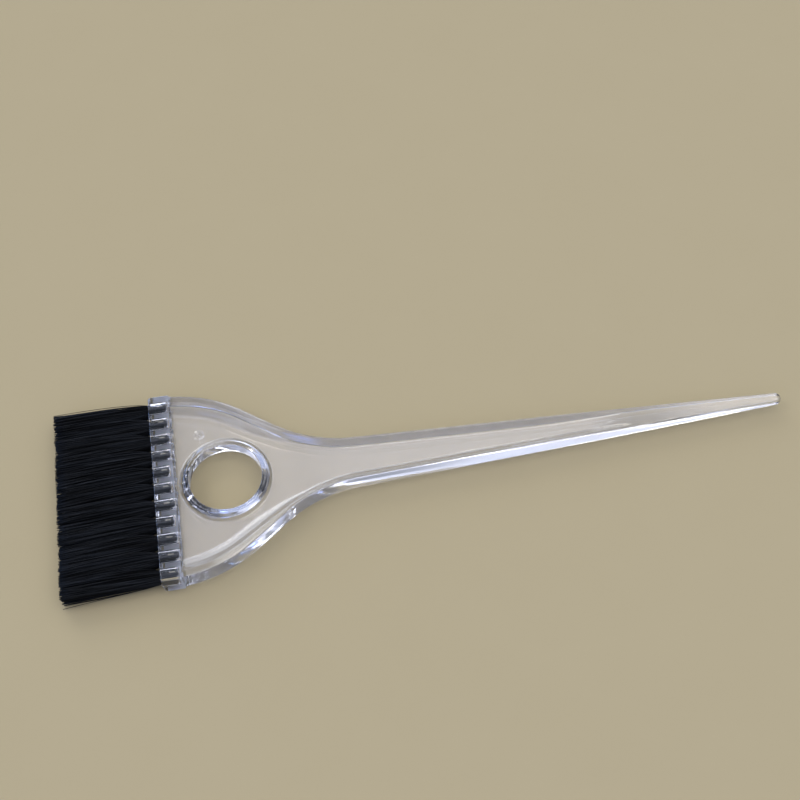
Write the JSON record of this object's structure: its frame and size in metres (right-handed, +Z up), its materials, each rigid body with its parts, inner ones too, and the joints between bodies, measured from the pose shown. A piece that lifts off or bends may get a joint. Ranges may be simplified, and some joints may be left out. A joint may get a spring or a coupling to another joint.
{
  "type": "hair tint brush",
  "caption": "Flat hair colouring brush with a clear bell-shaped head, round thumb hole, one row of black bristle tufts and a long tapered tail.",
  "frame": {"origin": "bottom centre of the whole brush's box, on the surface it lies on", "axes": "+X along the handle to the tip of its tail, so that the bristle tips are at the -X end; +Y across the head; +Z up, out of the face with the raised ring"},
  "size_m": [0.208, 0.0588, 0.0064],
  "materials": {
    "handle_clear": "clear, polished",
    "tuft_black": "satin",
    "anchor_metal": "satin"
  },
  "bodies": {
    "root": {"handle": "handle_clear", "tuft_01": "tuft_black", "tuft_02": "tuft_black", "tuft_03": "tuft_black", "tuft_04": "tuft_black", "tuft_05": "tuft_black", "tuft_06": "tuft_black", "tuft_07": "tuft_black", "tuft_08": "tuft_black", "tuft_09": "tuft_black", "tuft_10": "tuft_black", "tuft_11": "tuft_black", "anchor_01": "anchor_metal", "anchor_02": "anchor_metal", "anchor_03": "anchor_metal", "anchor_04": "anchor_metal", "anchor_05": "anchor_metal", "anchor_06": "anchor_metal", "anchor_07": "anchor_metal", "anchor_08": "anchor_metal", "anchor_09": "anchor_metal", "anchor_10": "anchor_metal", "anchor_11": "anchor_metal"}
  },
  "joints": []
}
